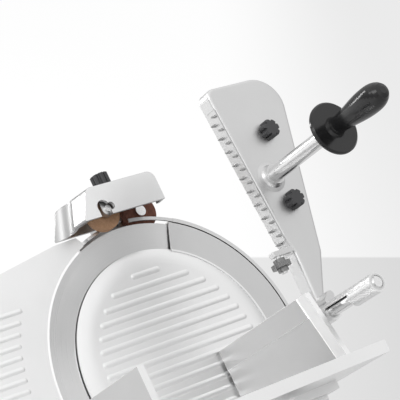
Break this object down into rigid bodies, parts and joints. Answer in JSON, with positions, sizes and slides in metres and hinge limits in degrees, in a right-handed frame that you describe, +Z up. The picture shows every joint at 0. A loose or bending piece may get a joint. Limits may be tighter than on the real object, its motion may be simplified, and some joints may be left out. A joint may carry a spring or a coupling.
{
  "type": "electric food slicer",
  "caption": "Gravity-feed food slicer with a tilted round blade, ribbed cover and gauge plate, sliding carriage with a toothed pusher and handle, and a sharpener over the blade.",
  "frame": {"origin": "middle of the bounding box, on the worktop under the feet", "axes": "+X the operator's right, +Y the rear, +Z up"},
  "size_m": [0.4616, 0.478, 0.5519],
  "materials": {
    "cast_aluminium": "fine satin casting, anodised",
    "stainless_steel": "turned and brushed",
    "chromed_steel": "polished",
    "black_plastic": "gloss",
    "grey_plastic": "matt",
    "dark_metal": "matt paint",
    "black_rubber": "matt",
    "bronze": "sintered",
    "tan_stone": "abrasive grain",
    "brown_stone": "abrasive grain",
    "green_plastic": "gloss",
    "red_plastic": "gloss"
  },
  "bodies": {
    "frame": {"base_casting": "cast_aluminium", "bottom_plate": "stainless_steel", "rubber_feet": "black_rubber", "foot_screws": "stainless_steel", "motor_tower": "cast_aluminium", "tower_screws": "stainless_steel", "motor_bracket": "stainless_steel", "motor_body": "dark_metal", "shaft_bearings": "stainless_steel", "drive_belt": "black_rubber", "ring_guard": "cast_aluminium", "guard_screws": "stainless_steel", "blade_cover": "cast_aluminium", "cover_tie_rod": "stainless_steel", "slice_deflector": "stainless_steel", "carriage_rail": "chromed_steel", "guide_bar": "chromed_steel", "sharpener_post": "chromed_steel", "switch_panel": "black_plastic", "terminal_box": "grey_plastic", "cable_gland": "black_plastic"},
    "blade_group": {"blade": "stainless_steel", "blade_shaft": "stainless_steel", "driven_pulley": "dark_metal", "blade_screws": "stainless_steel"},
    "motor_group": {"motor_rotor": "stainless_steel", "drive_pulley": "dark_metal"},
    "tie_knob_group": {"tie_knob": "black_plastic"},
    "gauge_group": {"gauge_plate": "cast_aluminium", "gauge_slide_bar": "stainless_steel", "gauge_guide_bar": "stainless_steel", "follower_pin": "stainless_steel"},
    "dial_group": {"thickness_knob": "black_plastic", "dial_shaft": "stainless_steel", "snail_cam": "bronze"},
    "carriage_group": {"carriage_tray": "cast_aluminium", "carriage_arm": "cast_aluminium", "slide_block": "dark_metal", "rail_bushes": "bronze"},
    "tray_knob_group": {"tray_knob": "black_plastic"},
    "rod_group": {"pusher_rod": "chromed_steel"},
    "pusher_group": {"slide_bushes": "stainless_steel", "pusher_sleeve": "cast_aluminium", "pusher_plate": "cast_aluminium", "tooth_strip": "stainless_steel", "handle_rod": "chromed_steel", "guard_disc": "black_plastic", "handle_grip": "black_plastic", "strip_stud": "stainless_steel"},
    "upper_star_group": {"upper_star_knob": "grey_plastic"},
    "lower_star_group": {"lower_star_knob": "grey_plastic"},
    "strip_nut_group": {"strip_nut": "chromed_steel"},
    "sharpener_group": {"sharpener_housing": "cast_aluminium", "grinding_spindle": "chromed_steel", "honing_spindle": "chromed_steel"},
    "sharpener_knob_group": {"sharpener_knob": "grey_plastic"},
    "grinding_stone_group": {"grinding_stone": "tan_stone"},
    "honing_stone_group": {"honing_stone": "brown_stone"},
    "start_button_group": {"start_button": "green_plastic"},
    "stop_button_group": {"stop_button": "red_plastic"}
  },
  "joints": [
    {"name": "blade_spin", "type": "hinge", "parent": "frame", "child": "blade_group", "pos_m": [-0.00581, 0.046, 0.24], "axis": [0.766, 0, 0.6428], "continuous": true},
    {"name": "motor_spin", "type": "hinge", "parent": "frame", "child": "motor_group", "pos_m": [-0.01047, 0.058, 0.10554], "axis": [0.766, 0, 0.6428], "continuous": true},
    {"name": "tie_knob_turn", "type": "hinge", "parent": "frame", "child": "tie_knob_group", "pos_m": [-0.14369, 0.046, 0.1243], "axis": [0.766, 0, 0.6428], "continuous": true},
    {"name": "gauge_slide", "type": "slide", "parent": "frame", "child": "gauge_group", "axis": [0.766, 0, 0.6428], "range_m": [-0.015, 0]},
    {"name": "dial_turn", "type": "hinge", "parent": "frame", "child": "dial_group", "pos_m": [-0.07589, -0.209, 0.05065], "axis": [0, 1, 0], "range_deg": [0, 300]},
    {"name": "carriage_slide", "type": "slide", "parent": "frame", "child": "carriage_group", "axis": [0, 1, 0], "range_m": [-0.18, 0.06]},
    {"name": "tray_knob_turn", "type": "hinge", "parent": "carriage_group", "child": "tray_knob_group", "pos_m": [0.18419, 0.046, 0.215], "axis": [1, 0, 0], "continuous": true},
    {"name": "pusher_swing", "type": "hinge", "parent": "carriage_group", "child": "rod_group", "pos_m": [0.13669, 0.11, 0.3191], "axis": [0.766, 0, 0.6428], "range_deg": [0, 28]},
    {"name": "pusher_slide", "type": "slide", "parent": "rod_group", "child": "pusher_group", "axis": [0.766, 0, 0.6428], "range_m": [-0.098, 0]},
    {"name": "upper_star_turn", "type": "hinge", "parent": "pusher_group", "child": "upper_star_group", "pos_m": [0.00783, 0.15, 0.46488], "axis": [0.766, 0, 0.6428], "continuous": true},
    {"name": "lower_star_turn", "type": "hinge", "parent": "pusher_group", "child": "lower_star_group", "pos_m": [0.05669, 0.1385, 0.40666], "axis": [0.766, 0, 0.6428], "continuous": true},
    {"name": "strip_nut_turn", "type": "hinge", "parent": "pusher_group", "child": "strip_nut_group", "pos_m": [0.08637, 0.093, 0.35651], "axis": [-0.6428, 0, 0.766], "continuous": true},
    {"name": "sharpener_lift", "type": "slide", "parent": "frame", "child": "sharpener_group", "axis": [-0.6428, 0, 0.766], "range_m": [0, 0.015]},
    {"name": "sharpener_knob_turn", "type": "hinge", "parent": "sharpener_group", "child": "sharpener_knob_group", "pos_m": [-0.15735, 0.07, 0.37393], "axis": [-0.6428, 0, 0.766], "continuous": true},
    {"name": "grinding_stone_spin", "type": "hinge", "parent": "sharpener_group", "child": "grinding_stone_group", "pos_m": [-0.10658, 0.024, 0.3741], "axis": [0.766, 0, 0.6428], "continuous": true},
    {"name": "honing_stone_spin", "type": "hinge", "parent": "sharpener_group", "child": "honing_stone_group", "pos_m": [-0.11977, 0.082, 0.35715], "axis": [0.766, 0, 0.6428], "continuous": true},
    {"name": "start_button_push", "type": "slide", "parent": "frame", "child": "start_button_group", "axis": [0, 1, 0], "range_m": [0, 0.004], "stiffness_N_per_m": 400},
    {"name": "stop_button_push", "type": "slide", "parent": "frame", "child": "stop_button_group", "axis": [0, 1, 0], "range_m": [0, 0.004], "stiffness_N_per_m": 400}
  ],
  "couplings": [
    {"joint": "motor_spin", "follows": "blade_spin", "ratio": 3.0556},
    {"joint": "dial_turn", "follows": "gauge_slide", "rad_per_m": -349.07}
  ]
}
